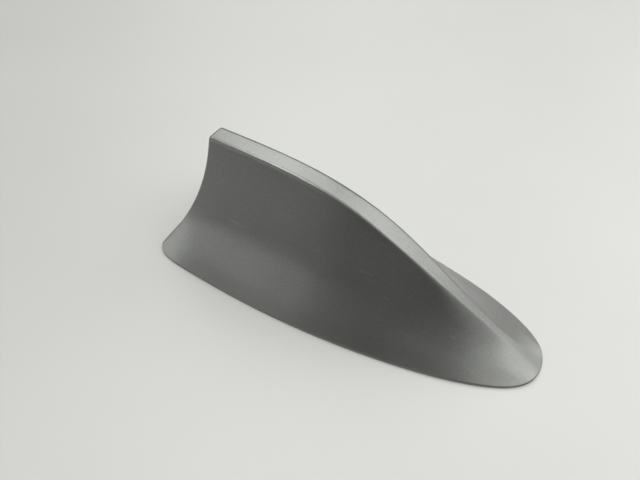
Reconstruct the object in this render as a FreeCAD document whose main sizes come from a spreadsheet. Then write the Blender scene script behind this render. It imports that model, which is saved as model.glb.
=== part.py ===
"""Shark-fin roof aerial cover: one moulded shell, lofted through cross-sections and hollow below.

Millimetres. +X points to the nose, +Y to the left, +Z up. The origin is the middle of the
footprint in the plane of the rim, so the cover stands on z = 0.
"""
import FreeCAD, Part
import os

import Sketcher

V = FreeCAD.Vector

# Driving sizes in millimetres. The overrun is how far a cutting form runs past the cover.
SIZES = {
    "overall_length": 165.0,
    "overall_width": 67.4,
    "crest_height": 52.3,
    "spine_width": 8.0,
    "wall": 2.2,
    "lip_height": 1.2,
    "lip_round": 0.5,
    "trailing_round": 0.9,
    "boss_diameter": 6.4,
    "boss_recess": 2.0,
    "boss_hole_diameter": 2.5,
    "boss_hole_depth": 7.0,
    "boss_spacing_x": 85.0,
    "boss_spacing_y": 32.0,
    "boss_middle_x": -15.0,
    "rib_thickness": 1.2,
    "rib_pitch": 25.0,
    "rib_middle_x": -17.5,
    "rib_clear_height": 20.0,
    "overrun": 12.0,
}
RIB_COUNT = 3

# Cross-sections from ahead of the nose to behind the tail. Each has its place as a share of the
# length, its crest as a share of the height, its rim as a share of the half width and its spine
# as a share of the spine's width. Then come the softness of the spine's edge and the hollow of
# the flank, as shares of the flank's slant, and the share of the hollow that is left low down.
STATIONS = [
    ("prow", -0.085, -0.0975, 0.307, 0.50, 0.28, -0.04, 0.7),
    ("nose", 0.0242, 0.058, 0.307, 0.50, 0.28, -0.04, 0.7),
    ("brow", 0.1212, 0.210, 0.58, 0.36, 0.28, -0.005, 0.5),
    ("ramp", 0.2667, 0.491, 0.781, 0.75, 0.14, 0.04, 0.3),
    ("rise", 0.4121, 0.760, 0.904, 1.0, 0.05, 0.055, 0.3),
    ("shoulder", 0.5576, 0.925, 0.977, 1.0, 0.04, 0.065, 0.3),
    ("crest", 0.7152, 0.988, 1.0, 1.0, 0.04, 0.075, 0.3),
    ("tail", 0.8727, 1.0, 0.979, 1.0, 0.04, 0.08, 0.4),
    ("heel", 0.9515, 1.0, 0.925, 1.0, 0.04, 0.085, 0.7),
    ("wake", 1.042, 1.0, 0.45, 1.0, 0.04, 0.09, 0.9),
]
STATION_FIELDS = ("place", "crest", "rim", "spine", "edge", "hollow", "low")

# Half of the plan outline, as the poles of a curve from the nose tip to the middle of the rear
# edge: place as a share of the length, reach as a share of the half width, and the shares of the
# wall that the inner outline stands back and in from it.
PLAN_POLES = [
    ("tip", 0.0, 0.0, 1.0, 0.0),
    ("round", 0.0, 0.262, 1.0, 0.5),
    ("cheek", 0.076, 0.55, 0.6, 0.8),
    ("front", 0.302, 0.847, 0.2, 1.0),
    ("middle", 0.602, 1.027, 0.0, 1.0),
    ("flank", 0.909, 0.981, 0.0, 1.0),
    ("corner", 1.0, 0.923, -1.0, 1.0),
    ("rear", 1.0, 0.445, -1.0, 0.0),
    ("end", 1.0, 0.0, -1.0, 0.0),
]
PLAN_FIELDS = ("place", "reach", "back", "inward")

# Side profile of the rear face: how far a point lies ahead of the rear end, as a share of the
# length, and how high, as a share of the crest's height. Outside they are poles of a curve that
# starts at the lip. Inside they are knees with straight lines between them.
TRAIL_POLES = [
    ("lower", 0.0782, 0.3136),
    ("upper", 0.1303, 0.784),
    ("top", 0.1194, 1.107),
]
TRAIL_KNEES = [
    ("low_knee", 0.0582, 0.268),
    ("high_knee", 0.1067, 0.612),
    ("head", 0.1218, 1.0),
]
TRAIL_FIELDS = ("ahead", "up")

# Form shared by every outer cross-section: the places of the flank's poles along its slant, with
# the share of the hollow that the upper two take, and the flat share of the spine.
UPPER_PLACE_SHARE = 0.30
UPPER_HOLLOW_SHARE = 0.65
MIDDLE_PLACE_SHARE = 0.60
MIDDLE_HOLLOW_SHARE = 1.0
LOW_PLACE_SHARE = 0.80
SPINE_FLAT_SHARE = 0.6

# Inside, the flank is straight between two knees: their places and their shares of the hollow.
LOW_KNEE_SHARES = (0.70, 0.70)
HIGH_KNEE_SHARES = (0.35, 0.72)

# Past its end a curve runs on straight: these shares of its last step keep the end on the curve.
STRAIGHT_SHARES = (1.0, 2.0 / 3.0)

# Shares of the wall: how far the inner skin moves in and down from the outer one, and how far
# the inner rear face stands in front of the outer one.
SKIN_SHIFT_SHARE = 0.8
REAR_SHIFT_SHARE = 1.3

# The rear face is crowned in plan: its radius there as a share of the length, and how many
# degrees of a turn reach past both flanks.
CROWN_SHARE = 1.3
CROWN_ANGLE = 50.0

SPLINE_DEGREE = 3
ORIGIN_INDEX = -1
START_INDEX = 1
END_INDEX = 2
CENTRE_INDEX = 3


def make_sheet(doc):
    """Make the sheet that holds every size, and every share of the form, under its own alias."""
    cells = dict(SIZES)
    for name, *values in STATIONS:
        for field, value in zip(STATION_FIELDS, values):
            cells["%s_%s" % (name, field)] = value
    for name, *values in PLAN_POLES:
        for field, value in zip(PLAN_FIELDS, values):
            cells["plan_%s_%s" % (name, field)] = value
    for name, *values in TRAIL_POLES + TRAIL_KNEES:
        for field, value in zip(TRAIL_FIELDS, values):
            cells["trail_%s_%s" % (name, field)] = value
    sheet = doc.addObject("Spreadsheet::Sheet", "sizes")
    for row, (alias, value) in enumerate(cells.items(), start=1):
        sheet.set("A%d" % row, alias)
        sheet.set("B%d" % row, str(value))
        sheet.setAlias("B%d" % row, alias)
    doc.recompute()


def bind(obj, **expressions):
    """Bind properties of an object to expressions; two underscores stand for a dot."""
    for name, expression in expressions.items():
        obj.setExpression(name.replace("__", "."), expression)


def bind_point(sketch, geometry, point, across, up):
    """Hold a point of a sketch at a pair of expressions."""
    for kind, expression in (("DistanceX", across), ("DistanceY", up)):
        value = sketch.evalExpression(expression)
        constraint = Sketcher.Constraint(kind, ORIGIN_INDEX, START_INDEX, geometry, point, value)
        index = sketch.addConstraint(constraint)
        sketch.setExpression("Constraints[%d]" % index, expression)


def place_of(sketch, across, up):
    """Return where a pair of expressions puts a point of a sketch."""
    return V(sketch.evalExpression(across), sketch.evalExpression(up), 0)


def join(sketch, first, second):
    """Hold the start of one curve of a sketch on the end of another."""
    sketch.addConstraint(Sketcher.Constraint("Coincident", first, END_INDEX, second, START_INDEX))


def add_spline(sketch, points):
    """Add an open spline with its poles at pairs of expressions, and return its index."""
    poles = [place_of(sketch, across, up) for across, up in points]
    spans = len(poles) - SPLINE_DEGREE
    ends = SPLINE_DEGREE + 1
    repeats = [ends] + [1] * (spans - 1) + [ends]
    curve = Part.BSplineCurve()
    curve.buildFromPolesMultsKnots(poles, repeats, list(range(spans + 1)), False, SPLINE_DEGREE)
    spline = sketch.addGeometry(curve, False)
    sketch.exposeInternalGeometry(spline)
    for number, (across, up) in enumerate(points, start=1):
        bind_point(sketch, spline + number, CENTRE_INDEX, across, up)
    return spline


def close_spline(sketch, spline, corners):
    """Close a spline with straight lines through corners, from its end back to its start."""
    last = spline
    start = sketch.getPoint(spline, END_INDEX)
    for across, up in corners:
        corner = place_of(sketch, across, up)
        line = sketch.addGeometry(Part.LineSegment(start, corner), False)
        join(sketch, last, line)
        bind_point(sketch, line, END_INDEX, across, up)
        last = line
        start = corner
    line = sketch.addGeometry(Part.LineSegment(start, sketch.getPoint(spline, START_INDEX)), False)
    join(sketch, last, line)
    join(sketch, line, spline)


def add_polygon(sketch, corners):
    """Add a closed polygon with its corners at pairs of expressions."""
    places = [place_of(sketch, across, up) for across, up in corners]
    lines = []
    for number, (across, up) in enumerate(corners):
        edge = Part.LineSegment(places[number - 1], places[number])
        lines.append(sketch.addGeometry(edge, False))
        bind_point(sketch, lines[number], END_INDEX, across, up)
    for number, line in enumerate(lines):
        join(sketch, lines[number - 1], line)


def straight_on(last, before):
    """Return the poles that carry a curve straight on past its last pole."""
    return [
        tuple("%s + %g * (%s - (%s))" % (end, step, end, start) for end, start in zip(last, before))
        for step in STRAIGHT_SHARES
    ]


def on_flank(name, place, share, inner=False):
    """Return a point at a place along a cross-section's slant, moved in by a share of its hollow."""
    spine, crest = top_of(name)
    foot = "sizes.lip_height"
    if name == "prow":
        foot = "(sizes.lip_height + %s - sizes.crest_height * sizes.nose_crest)" % crest
    wide = "(sizes.overall_width / 2 * sizes.%s_rim - %s)" % (name, spine)
    tall = "(%s - %s)" % (crest, foot)
    hollow = "%s * sizes.%s_hollow" % (share, name)
    shift = "%g * sizes.wall" % (SKIN_SHIFT_SHARE if inner else 0.0)
    across = "%s + %s * %s - %s * %s - %s" % (spine, place, wide, hollow, tall, shift)
    up = "%s - %s * %s - %s * %s - %s" % (crest, place, tall, hollow, wide, shift)
    return across, up


def top_of(name):
    """Return the edge of a cross-section's spine."""
    return "sizes.spine_width / 2 * sizes.%s_spine" % name, "sizes.crest_height * sizes.%s_crest" % name


def outer_side(name):
    """Return one side of an outer cross-section as poles, from below the rim up to the spine."""
    edge = "sizes.%s_edge" % name
    rim = on_flank(name, "1", "0")
    low = on_flank(name, "%g" % LOW_PLACE_SHARE, "sizes.%s_low" % name)
    spine, crest = top_of(name)
    return straight_on(rim, low) + [
        rim,
        low,
        on_flank(name, "%g" % MIDDLE_PLACE_SHARE, "%g" % MIDDLE_HOLLOW_SHARE),
        on_flank(name, "%g" % UPPER_PLACE_SHARE, "%g" % UPPER_HOLLOW_SHARE),
        on_flank(name, edge, "%s * %g" % (edge, UPPER_HOLLOW_SHARE / UPPER_PLACE_SHARE)),
        (spine, crest),
        ("%g * %s" % (SPINE_FLAT_SHARE, spine), crest),
    ]


def inner_side(name):
    """Return one side of an inner cross-section as corners, from below the rim up to the spine."""
    rim = on_flank(name, "1", "0", inner=True)
    knees = [
        on_flank(name, "%g" % place, "%g" % share, inner=True)
        for place, share in (LOW_KNEE_SHARES, HIGH_KNEE_SHARES)
    ]
    spine, crest = top_of(name)
    top = ("%s * (1 - 2 * sizes.wall / sizes.spine_width)" % spine, "%s - sizes.wall" % crest)
    return straight_on(rim, knees[0])[:1] + knees + [top]


def make_skin(doc, name, inner):
    """Return a body lofted through every cross-section, much deeper than the rim."""
    body = doc.addObject("PartDesign::Body", name)
    plane = next(p for p in body.Origin.OriginFeatures if p.Role == "YZ_Plane")
    floor = "-2 * sizes.overrun"
    sections = []
    for station, *_ in STATIONS:
        sketch = body.newObject("Sketcher::SketchObject", "%s_%s" % (name, station))
        sketch.AttachmentSupport = [(plane, "")]
        sketch.MapMode = "FlatFace"
        place = "sizes.overall_length * (0.5 - sizes.%s_place)" % station
        bind(sketch, AttachmentOffset__Base__z=place)
        left = inner_side(station) if inner else outer_side(station)
        right = [("-(%s)" % across, up) for across, up in left]
        arch = right + left[::-1]
        feet = [(left[0][0], floor), (right[0][0], floor)]
        if inner:
            add_polygon(sketch, arch + feet)
        else:
            close_spline(sketch, add_spline(sketch, arch), feet)
        sections.append(sketch)
    loft = body.newObject("PartDesign::AdditiveLoft", name + "_loft")
    loft.Profile = sections[0]
    loft.Sections = sections[1:]
    return body


def make_plan(doc, name, inner):
    """Return a prism up from the plan outline, or one through the inner outline."""
    sketch = doc.addObject("Sketcher::SketchObject", name + "_outline")
    wall = "%g * sizes.wall" % (1.0 if inner else 0.0)
    left = []
    for pole, *_ in PLAN_POLES:
        cell = "sizes.plan_%s_" % pole
        along = "sizes.overall_length * (0.5 - %splace) - %sback * %s" % (cell, cell, wall)
        across = "sizes.overall_width / 2 * %sreach - %sinward * %s" % (cell, cell, wall)
        left.append((along, across))
    add_spline(sketch, left)
    add_spline(sketch, [(along, "-(%s)" % across) for along, across in left])
    prism = doc.addObject("Part::Extrusion", name)
    prism.Base = sketch
    prism.DirMode = "Custom"
    prism.Dir = V(0, 0, 1)
    prism.Solid = True
    bind(prism, LengthFwd="sizes.crest_height + sizes.overrun")
    if inner:
        bind(prism, LengthRev="sizes.overrun")
    return prism


def make_profile(doc, name, inner):
    """Return a form with the side profile, turned about an upright axis ahead of the nose."""
    sketch = doc.addObject("Sketcher::SketchObject", name + "_side")
    sketch.Placement = FreeCAD.Placement(V(0, 0, 0), FreeCAD.Rotation(V(1, 0, 0), 90))
    rear = "-sizes.overall_length / 2 + %g * sizes.wall" % (REAR_SHIFT_SHARE if inner else 0.0)
    foot = (rear, "sizes.lip_height")
    trail = [
        (
            "%s + sizes.overall_length * sizes.trail_%s_ahead" % (rear, point),
            "sizes.crest_height * sizes.trail_%s_up" % point,
        )
        for point, *_ in (TRAIL_KNEES if inner else TRAIL_POLES)
    ]
    below = straight_on(foot, trail[0])
    ahead = "sizes.overall_length / 2 + sizes.overrun"
    above = "sizes.crest_height + sizes.overrun"
    corners = [(trail[-1][0], above), (ahead, above), (ahead, below[0][1])]
    if inner:
        add_polygon(sketch, below[:1] + trail + corners)
    else:
        close_spline(sketch, add_spline(sketch, below + [foot] + trail), corners)
    form = doc.addObject("Part::Revolution", name)
    form.Source = sketch
    form.Axis = V(0, 0, 1)
    form.Angle = CROWN_ANGLE
    form.Symmetric = True
    form.Solid = True
    bind(form, Base__x="sizes.overall_length * (%g - 0.5)" % CROWN_SHARE)
    return form


def common(doc, name, *bases):
    """Return what several solids share."""
    form = doc.addObject("Part::MultiCommon", name)
    form.Shapes = list(bases)
    return form


def cut(doc, name, base, *tools):
    """Return a solid less one or more others."""
    tool = tools[0]
    if len(tools) > 1:
        tool = doc.addObject("Part::MultiFuse", name + "_tools")
        tool.Shapes = list(tools)
    rest = doc.addObject("Part::Cut", name)
    rest.Base = base
    rest.Tool = tool
    return rest


def rounded(doc, name, base, radius, wanted):
    """Return a solid with a size of the sheet as the radius of the edges whose boxes pass a test."""
    doc.recompute()
    size = doc.sizes.get(radius)
    fillet = doc.addObject("Part::Fillet", name)
    fillet.Base = base
    fillet.Edges = [
        (number, size, size)
        for number, edge in enumerate(base.Shape.Edges, start=1)
        if wanted(edge.optimalBoundingBox())
    ]
    return fillet


def make_outer(doc):
    """Return the outside as a solid: lofted skin, concave rear, plan outline and soft edges."""
    half_height = doc.sizes.crest_height / 2
    low = doc.sizes.lip_height / 4

    def is_trailing(box):
        """Tell the edge between the flanks, the spine and the rear face."""
        return box.XMax < 0 and box.ZMin < half_height < box.ZMax

    def is_lip(box):
        """Tell the edges along the top of the lip."""
        return box.ZMin > low and box.ZMax < half_height

    skin = make_skin(doc, "outer_skin", False)
    swept = common(doc, "outer_swept", skin, make_profile(doc, "outer_profile", False))
    soft = rounded(doc, "outer_trailing", swept, "trailing_round", is_trailing)
    form = common(doc, "outer_form", soft, make_plan(doc, "outer_plan", False))
    return rounded(doc, "outer_lip", form, "lip_round", is_lip)


def make_core(doc):
    """Return the hollow as a solid that reaches below the rim."""
    skin = make_skin(doc, "core_skin", True)
    profile = make_profile(doc, "core_profile", True)
    return common(doc, "core", skin, profile, make_plan(doc, "core_plan", True))


def make_ribs(doc):
    """Return the blocks that leave cross ribs in the hollow, clear of the rim's plane."""
    ribs = []
    for number in range(RIB_COUNT):
        rib = doc.addObject("Part::Box", "rib_%d" % (number + 1))
        step = number - (RIB_COUNT - 1) / 2
        middle = "sizes.rib_middle_x + %g * sizes.rib_pitch" % step
        bind(
            rib,
            Length="sizes.rib_thickness",
            Width="sizes.overall_width",
            Height="sizes.crest_height",
            Placement__Base__x=middle + " - sizes.rib_thickness / 2",
            Placement__Base__y="-sizes.overall_width / 2",
            Placement__Base__z="sizes.rib_clear_height",
        )
        ribs.append(rib)
    return ribs


def make_posts(doc, name, diameter, foot, height):
    """Return four upright cylinders on the screws' places."""
    posts = []
    for along in (1, -1):
        for across in (1, -1):
            post = doc.addObject("Part::Cylinder", "%s_%d" % (name, len(posts) + 1))
            bind(
                post,
                Radius=diameter + " / 2",
                Height=height,
                Placement__Base__x="sizes.boss_middle_x + %d * sizes.boss_spacing_x / 2" % along,
                Placement__Base__y="%d * sizes.boss_spacing_y / 2" % across,
                Placement__Base__z=foot,
            )
            posts.append(post)
    return posts


def make_cover(doc):
    """Return the cover: the outside less the hollow, which leaves ribs and drilled screw bosses."""
    bosses = make_posts(doc, "boss", "sizes.boss_diameter", "sizes.boss_recess", "sizes.crest_height")
    hollow = cut(doc, "hollow", make_core(doc), *make_ribs(doc), *bosses)
    shell = cut(doc, "shell", make_outer(doc), hollow)
    depth = "sizes.boss_recess + sizes.boss_hole_depth + sizes.overrun"
    holes = make_posts(doc, "hole", "sizes.boss_hole_diameter", "-sizes.overrun", depth)
    cover = cut(doc, "drilled", shell, *holes)
    cover.Label = "fin_cover"
    return cover


def check(doc, parts):
    """Stop if any object failed or any sub-part isn't one valid solid."""
    for obj in doc.Objects:
        if "Invalid" in obj.State or "Error" in obj.State:
            raise RuntimeError("%s failed: %s" % (obj.Name, obj.State))
    for part in parts:
        if part.Shape.isNull() or not part.Shape.isValid() or len(part.Shape.Solids) != 1:
            raise RuntimeError("%s isn't one valid solid" % part.Label)


def main():
    """Build the document, check it and write the cover."""
    doc = FreeCAD.newDocument("fin_cover")
    make_sheet(doc)
    parts = [make_cover(doc)]
    doc.recompute()
    check(doc, parts)
    os.makedirs("parts", exist_ok=True)
    for part in parts:
        part.Shape.exportStep("parts/%s.step" % part.Label)
        print(part.Label, round(part.Shape.Volume), "mm3", len(part.Shape.Faces), "faces")


main()
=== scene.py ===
"""Looks of a shark-fin roof aerial cover: satin metallic paint outside, bare plastic inside.

Metres, in the frame of the CAD part: +X to the nose, +Y to the left, +Z up, rim on z = 0.
"""
import logging
from dataclasses import dataclass, field
from enum import Enum
from typing import Dict, List, Optional, Sequence, Tuple

import bpy
from mathutils import Matrix, Vector
from mathutils.bvhtree import BVHTree

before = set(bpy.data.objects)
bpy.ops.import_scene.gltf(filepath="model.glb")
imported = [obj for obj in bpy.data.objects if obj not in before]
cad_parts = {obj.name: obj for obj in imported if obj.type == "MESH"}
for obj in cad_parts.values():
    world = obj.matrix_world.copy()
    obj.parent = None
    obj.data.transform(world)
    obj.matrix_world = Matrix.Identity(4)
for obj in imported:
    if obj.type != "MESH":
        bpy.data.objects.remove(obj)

LOG = logging.getLogger("fin_cover")

Colour = Tuple[float, float, float]
Triple = Tuple[float, float, float]
Span = Tuple[float, float]
Socket = bpy.types.NodeSocket

# The part of a noise's range that most of its values lie in, and the same for a sum of two noises.
NOISE_SPAN: Span = (0.3, 0.7)
PAIR_SPAN: Span = (0.65, 1.35)
UNIT_SPAN: Span = (0.0, 1.0)

# The fourth value of a colour on a node's input, and a bump at its full height.
OPAQUE = 1.0
FULL_STRENGTH = 1.0

UP: Triple = (0.0, 0.0, 1.0)


class Side(Enum):
    """Which finish a facet of the cover takes, by its place in the list of materials."""

    PAINTED = 0
    BARE = 1


class Graph:
    """A node tree, with short ways to add and join nodes."""

    def __init__(self, tree: bpy.types.NodeTree) -> None:
        """Empty the tree.

        Args:
            tree: The tree of a material or of the world.
        """
        self.tree = tree
        self.tree.nodes.clear()

    def add(self, kind: str, **settings: object) -> bpy.types.Node:
        """Add a node.

        Args:
            kind: The node's type.
            settings: Properties of the node, by name.

        Returns:
            The new node.
        """
        node = self.tree.nodes.new(kind)
        for key, value in settings.items():
            setattr(node, key, value)
        return node

    def join(self, source: Socket, target: Socket) -> None:
        """Join an output of one node to an input of another.

        Args:
            source: The output.
            target: The input.
        """
        self.tree.links.new(source, target)

    def ranged(self, source: Socket, span: Span, result: Span, **settings: object) -> Socket:
        """Map a value from one range to another.

        Args:
            source: The value.
            span: The range that is read.
            result: The range that it becomes.
            settings: Properties of the mapping node, by name.

        Returns:
            The mapped value.
        """
        node = self.add("ShaderNodeMapRange", **settings)
        for name, value in zip(("From Min", "From Max", "To Min", "To Max"), (*span, *result)):
            node.inputs[name].default_value = value
        self.join(source, node.inputs["Value"])
        return node.outputs["Result"]

    def mixed(self, factor: Socket, first: Colour, second: Colour) -> Socket:
        """Mix two colours by a factor.

        Args:
            factor: The factor.
            first: The colour at 0.
            second: The colour at 1.

        Returns:
            The mixed colour.
        """
        node = self.add("ShaderNodeMixRGB")
        node.inputs["Color1"].default_value = (*first, OPAQUE)
        node.inputs["Color2"].default_value = (*second, OPAQUE)
        self.join(factor, node.inputs["Fac"])
        return node.outputs["Color"]


class Surface(Graph):
    """A material's node tree: a principled shader, and values over the object's own coordinates."""

    def __init__(self, name: str) -> None:
        """Make a material with an output and a principled shader.

        Args:
            name: The material's name.
        """
        self.material = bpy.data.materials.new(name)
        self.material.use_nodes = True
        super().__init__(self.material.node_tree)
        self.shader = self.add("ShaderNodeBsdfPrincipled")
        output = self.add("ShaderNodeOutputMaterial")
        self.join(self.shader.outputs["BSDF"], output.inputs["Surface"])
        self.place = self.add("ShaderNodeTexCoord").outputs["Object"]

    def keep(self, name: str, value: float) -> None:
        """Set a value of the shader that is the same all over.

        Args:
            name: The shader's input.
            value: Its value.
        """
        self.shader.inputs[name].default_value = value

    def drive(self, name: str, source: Socket) -> None:
        """Give an input of the shader a value that changes over the surface.

        Args:
            name: The shader's input.
            source: The value.
        """
        self.join(source, self.shader.inputs[name])

    def noise(self, scale: float, detail: float, way: Optional[Socket] = None) -> Socket:
        """Add a noise over the object's own coordinates.

        Args:
            scale: Waves per metre.
            detail: Octaves.
            way: Coordinates to use in their place.

        Returns:
            The noise, from 0 to 1.
        """
        node = self.add("ShaderNodeTexNoise")
        node.inputs["Scale"].default_value = scale
        node.inputs["Detail"].default_value = detail
        self.join(self.place if way is None else way, node.inputs["Vector"])
        return node.outputs["Fac"]

    def stretched(self, turn: Triple, stretch: Triple) -> Socket:
        """Turn and stretch the object's own coordinates.

        Args:
            turn: The turn about each axis, in radians.
            stretch: The factor along each axis.

        Returns:
            The new coordinates.
        """
        node = self.add("ShaderNodeMapping")
        node.inputs["Rotation"].default_value = turn
        node.inputs["Scale"].default_value = stretch
        self.join(self.place, node.inputs["Vector"])
        return node.outputs["Vector"]

    def height(self) -> Socket:
        """Read the height above the rim from the object's own coordinates.

        Returns:
            The height, in metres.
        """
        node = self.add("ShaderNodeSeparateXYZ")
        self.join(self.place, node.inputs["Vector"])
        return node.outputs["Z"]

    def worked(self, operation: str, *sources: Socket) -> Socket:
        """Work two values out into one.

        Args:
            operation: The kind of sum.
            sources: The two values.

        Returns:
            The result.
        """
        node = self.add("ShaderNodeMath", operation=operation)
        for source, target in zip(sources, node.inputs):
            self.join(source, target)
        return node.outputs["Value"]

    def washed(self, under: Socket, factor: Socket, colour: Colour) -> Socket:
        """Lay a colour over another by a factor.

        Args:
            under: The colour below.
            factor: The factor.
            colour: The colour at 1.

        Returns:
            The mixed colour.
        """
        node = self.add("ShaderNodeMixRGB")
        node.inputs["Color2"].default_value = (*colour, OPAQUE)
        self.join(under, node.inputs["Color1"])
        self.join(factor, node.inputs["Fac"])
        return node.outputs["Color"]

    def bump(self, source: Socket, height: float, below: Optional[Socket] = None) -> Socket:
        """Turn a value into a bump.

        Args:
            source: The value, from 0 to 1.
            height: The height of 1, in metres.
            below: A bump that this one lies on.

        Returns:
            The bumped normal.
        """
        node = self.add("ShaderNodeBump")
        node.inputs["Strength"].default_value = FULL_STRENGTH
        node.inputs["Distance"].default_value = height
        self.join(source, node.inputs["Height"])
        if below is not None:
            self.join(below, node.inputs["Normal"])
        return node.outputs["Normal"]


@dataclass(frozen=True)
class MetallicPaint:
    """Satin metallic paint: a flaked base under a thin dull coat, with hairlines and a painted reflection
    along the rim.
    """

    dark: Colour = (0.161, 0.166, 0.157)
    light: Colour = (0.236, 0.242, 0.229)
    metallic: float = 0.92
    smooth: float = 0.32
    rough: float = 0.41
    coat: float = 0.25
    coat_rough: float = 0.22
    flake_scale: float = 5200.0
    flake_detail: float = 2.0
    flake_height: float = 0.0000035
    grain_scale: float = 2200.0
    grain_detail: float = 4.0
    peel_scale: float = 900.0
    peel_detail: float = 1.0
    peel_height: float = 0.0000025
    cloud_scale: float = 38.0
    cloud_detail: float = 4.0
    hairline: Colour = (0.36, 0.36, 0.35)
    hairline_turn: Triple = (0.0, 0.35, 0.25)
    hairline_stretch: Triple = (1.0, 16.0, 16.0)
    hairline_scale: float = 70.0
    hairline_detail: float = 1.0
    hairline_span: Span = (0.70, 0.76)
    hairline_share: float = 0.18
    hairline_rough: float = 0.08
    # Painted reflection along the rim: a lighter colour that fades out a few mm above the lip
    painted_rim_sheen: Colour = (0.33, 0.325, 0.305)
    painted_rim_sheen_span: Span = (0.0045, 0.0006)
    painted_rim_sheen_share: float = 0.30

    def build(self) -> bpy.types.Material:
        """Make the paint's material.

        Returns:
            The material.
        """
        surface = Surface("cover_paint")
        surface.keep("Metallic", self.metallic)
        surface.keep("Coat Weight", self.coat)
        surface.keep("Coat Roughness", self.coat_rough)
        flake = surface.noise(self.flake_scale, self.flake_detail)
        peel = surface.noise(self.peel_scale, self.peel_detail)
        cloud = surface.noise(self.cloud_scale, self.cloud_detail)
        lines = self.hairlines(surface)
        surface.drive("Base Color", self.colour_over(surface, flake, cloud, lines))
        base = surface.ranged(cloud, NOISE_SPAN, (self.smooth, self.rough))
        scuff = surface.ranged(lines, UNIT_SPAN, (0.0, self.hairline_rough))
        surface.drive("Roughness", surface.worked("ADD", base, scuff))
        low = surface.bump(peel, self.peel_height)
        surface.drive("Normal", surface.bump(flake, self.flake_height, low))
        surface.drive("Coat Normal", low)
        return surface.material

    def hairlines(self, surface: Surface) -> Socket:
        """Make sparse fine lines, as handling leaves them.

        Args:
            surface: The paint's node tree.

        Returns:
            A value that is 1 on a line and 0 off it.
        """
        way = surface.stretched(self.hairline_turn, self.hairline_stretch)
        waves = surface.noise(self.hairline_scale, self.hairline_detail, way)
        return surface.ranged(waves, self.hairline_span, UNIT_SPAN)

    def colour_over(self, surface: Surface, flake: Socket, cloud: Socket, lines: Socket) -> Socket:
        """Colour the paint: flake and grain, then hairlines, then a painted reflection that is lightest
        at the lip and fades out above it.

        Args:
            surface: The paint's node tree.
            flake: The noise of the flake.
            cloud: The noise that breaks the painted rim reflection up.
            lines: The hairlines.

        Returns:
            The paint's colour.
        """
        grain = surface.noise(self.grain_scale, self.grain_detail)
        sparkle = surface.worked("ADD", flake, grain)
        spread = surface.ranged(sparkle, PAIR_SPAN, UNIT_SPAN)
        colour = surface.mixed(spread, self.dark, self.light)
        mark = surface.ranged(lines, UNIT_SPAN, (0.0, self.hairline_share))
        marked = surface.washed(colour, mark, self.hairline)
        # Painted reflection: lighter colour near the rim that stands in for the floor's light on the lip
        sheen_fade = surface.ranged(surface.height(), self.painted_rim_sheen_span, (0.0, self.painted_rim_sheen_share))
        sheen_patches = surface.worked("MULTIPLY", sheen_fade, cloud)
        return surface.washed(marked, sheen_patches, self.painted_rim_sheen)


@dataclass(frozen=True)
class BarePlastic:
    """Unpainted moulded plastic, finely grained, as inside the cover."""

    dark: Colour = (0.018, 0.018, 0.019)
    light: Colour = (0.032, 0.032, 0.033)
    smooth: float = 0.45
    rough: float = 0.62
    grain_scale: float = 1500.0
    grain_detail: float = 3.0
    grain_height: float = 0.00001
    cloud_scale: float = 60.0
    cloud_detail: float = 3.0

    def build(self) -> bpy.types.Material:
        """Make the plastic's material.

        Returns:
            The material.
        """
        surface = Surface("bare_plastic")
        grain = surface.noise(self.grain_scale, self.grain_detail)
        cloud = surface.noise(self.cloud_scale, self.cloud_detail)
        surface.drive("Base Color", surface.mixed(cloud, self.dark, self.light))
        surface.drive("Roughness", surface.ranged(cloud, NOISE_SPAN, (self.smooth, self.rough)))
        surface.drive("Normal", surface.bump(grain, self.grain_height))
        return surface.material


@dataclass(frozen=True)
class PaleFloor:
    """A plain pale studio floor with a slight sheen and a hardly visible mottle."""

    dark: Colour = (0.505, 0.505, 0.493)
    light: Colour = (0.545, 0.545, 0.532)
    metallic: float = 0.30
    rough: float = 0.60
    mottle_scale: float = 9.0
    mottle_detail: float = 4.0

    def build(self) -> bpy.types.Material:
        """Make the floor's material.

        Returns:
            The material.
        """
        surface = Surface("pale_floor")
        surface.keep("Metallic", self.metallic)
        surface.keep("Roughness", self.rough)
        mottle = surface.noise(self.mottle_scale, self.mottle_detail)
        surface.drive("Base Color", surface.mixed(mottle, self.dark, self.light))
        return surface.material


@dataclass
class FinCover:
    """The cover itself: the CAD shell, painted outside and bare inside."""

    node: str = "fin_cover"
    paint: MetallicPaint = field(default_factory=MetallicPaint)
    plastic: BarePlastic = field(default_factory=BarePlastic)
    look_off: float = 0.0003

    def dress(self, nodes: Dict[str, bpy.types.Object]) -> bpy.types.Object:
        """Give the shell its two finishes.

        Args:
            nodes: The CAD nodes by name.

        Returns:
            The shell's object.
        """
        shell = nodes[self.node]
        mesh = shell.data
        finishes = {Side.PAINTED: self.paint, Side.BARE: self.plastic}
        mesh.materials.clear()
        for side in Side:
            mesh.materials.append(finishes[side].build())
        sides = self.find_sides(mesh)
        mesh.polygons.foreach_set("material_index", [side.value for side in sides])
        mesh.update()
        LOG.info("%s: %d facets, %d of them bare", self.node, len(sides), sides.count(Side.BARE))
        return shell

    def find_sides(self, mesh: bpy.types.Mesh) -> List[Side]:
        """Tell which facets lie under the roof of the cover.

        Args:
            mesh: The shell's mesh.

        Returns:
            A side for each facet.
        """
        points = [vertex.co.copy() for vertex in mesh.vertices]
        tree = BVHTree.FromPolygons(points, [tuple(polygon.vertices) for polygon in mesh.polygons])
        sides = []
        for polygon in mesh.polygons:
            start = polygon.center + polygon.normal * self.look_off
            hit, *_ = tree.ray_cast(start, Vector(UP))
            sides.append(Side.PAINTED if hit is None else Side.BARE)
        return sides


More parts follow.
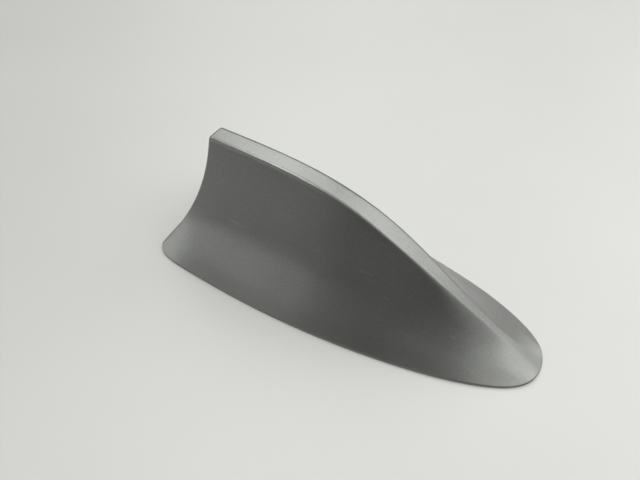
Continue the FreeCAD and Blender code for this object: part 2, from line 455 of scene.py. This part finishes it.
@dataclass(frozen=True)
class Softbox:
    """A wide soft light that faces the cover, with its power in watts."""

    name: str
    place: Triple
    size: Span
    power: float

    def build(self) -> None:
        """Hang the light."""
        light = bpy.data.lights.new(self.name, "AREA")
        light.shape = "RECTANGLE"
        light.size, light.size_y = self.size
        light.energy = self.power
        lamp = bpy.data.objects.new(self.name, light)
        lamp.location = self.place
        lamp.rotation_euler = Vector(self.place).to_track_quat("Z", "Y").to_euler()
        bpy.context.scene.collection.objects.link(lamp)


@dataclass(frozen=True)
class Sky:
    """A plain sky that is bright one way and dim the other."""

    high: Colour = (0.44, 0.44, 0.43)
    low: Colour = (0.02, 0.02, 0.02)
    bright_way: Triple = (0.22, 0.18, 0.92)
    span: Span = (-0.05, 1.0)

    def build(self) -> None:
        """Make the world and its nodes."""
        world = bpy.data.worlds.new("studio")
        bpy.context.scene.world = world
        world.use_nodes = True
        graph = Graph(world.node_tree)
        output = graph.add("ShaderNodeOutputWorld")
        background = graph.add("ShaderNodeBackground")
        place = graph.add("ShaderNodeTexCoord")
        turn = graph.add("ShaderNodeVectorMath", operation="DOT_PRODUCT")
        looking, brightest, *_ = turn.inputs
        brightest.default_value = Vector(self.bright_way).normalized()
        graph.join(place.outputs["Generated"], looking)
        level = graph.ranged(turn.outputs["Value"], self.span, UNIT_SPAN, interpolation_type="SMOOTHSTEP")
        graph.join(graph.mixed(level, self.low, self.high), background.inputs["Color"])
        graph.join(background.outputs["Background"], output.inputs["Surface"])


@dataclass(frozen=True)
class Camera:
    """The camera, at the place and angle that were solved for the picture. Lens and sensor are in mm."""

    place: Triple = (0.044901, -0.107764, 0.160724)
    right: Triple = (0.865347, 0.500769, 0.020148)
    down: Triple = (0.39296, -0.653001, -0.647435)
    forward: Triple = (-0.311058, 0.568173, -0.761855)
    lens: float = 25.594
    sensor: float = 36.0
    nearest: float = 0.01

    def build(self) -> None:
        """Place the camera and make it the scene's own."""
        data = bpy.data.cameras.new("camera")
        data.lens = self.lens
        data.sensor_width = self.sensor
        data.sensor_fit = "HORIZONTAL"
        data.clip_start = self.nearest
        camera = bpy.data.objects.new("camera", data)
        axes = [Vector(self.right), -Vector(self.down), -Vector(self.forward)]
        turn = Matrix(axes).transposed().to_quaternion().to_matrix().to_4x4()
        camera.matrix_world = Matrix.Translation(self.place) @ turn
        bpy.context.scene.collection.objects.link(camera)
        bpy.context.scene.camera = camera


@dataclass
class Studio:
    """Floor, sky, soft lights and camera."""

    floor_size: float = 6.0
    floor: PaleFloor = field(default_factory=PaleFloor)
    sky: Sky = field(default_factory=Sky)
    camera: Camera = field(default_factory=Camera)
    softboxes: Tuple[Softbox, ...] = (
        Softbox("overhead", (-0.40, -0.12, 1.20), (0.5, 0.5), 5.4),
        Softbox("front_high", (0.933, 0.25, 0.87), (0.7, 0.7), 3.7),
        Softbox("front_near", (1.079, -0.393, 0.61), (0.6, 0.5), 0.4),
        Softbox("front_side", (0.785, -0.286, 0.996), (0.6, 0.5), 1.15),
        Softbox("front_far", (0.936, 0.731, 0.529), (0.5, 0.5), 0.8),
        Softbox("far_front", (0.435, 0.753, 0.966), (0.8, 0.8), 4.6),
        Softbox("far_rear", (-0.435, 0.753, 0.966), (0.8, 0.8), 5.5),
        Softbox("far_low", (0.618, 1.071, 0.402), (0.8, 0.6), 2.0),
        Softbox("near_low", (-0.611, -1.058, 0.445), (0.95, 0.55), 1.5),
        Softbox("near_front", (0.323, -1.207, 0.358), (0.9, 0.4), 0.18),
        Softbox("rear_low", (-1.167, -0.544, 0.181), (0.8, 0.35), 1.8),
    )

    def build(self) -> None:
        """Make the floor, the sky, the lights and the camera."""
        self.make_floor()
        self.sky.build()
        for softbox in self.softboxes:
            softbox.build()
        self.camera.build()
        bpy.context.scene.view_settings.view_transform = "Standard"
        LOG.info("studio: floor, sky, %d soft lights and camera", len(self.softboxes))

    def make_floor(self) -> None:
        """Lay a wide plain floor under the cover."""
        half = self.floor_size / 2
        corners = [(-half, -half, 0), (half, -half, 0), (half, half, 0), (-half, half, 0)]
        mesh = bpy.data.meshes.new("floor")
        mesh.from_pydata(corners, [], [range(len(corners))])
        mesh.materials.append(self.floor.build())
        floor = bpy.data.objects.new("floor", mesh)
        bpy.context.scene.collection.objects.link(floor)


def main() -> None:
    """Dress the cover and set the studio."""
    logging.basicConfig(level=logging.INFO)
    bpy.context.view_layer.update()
    FinCover().dress(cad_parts)
    Studio().build()


if __name__ == "__main__":
    main()
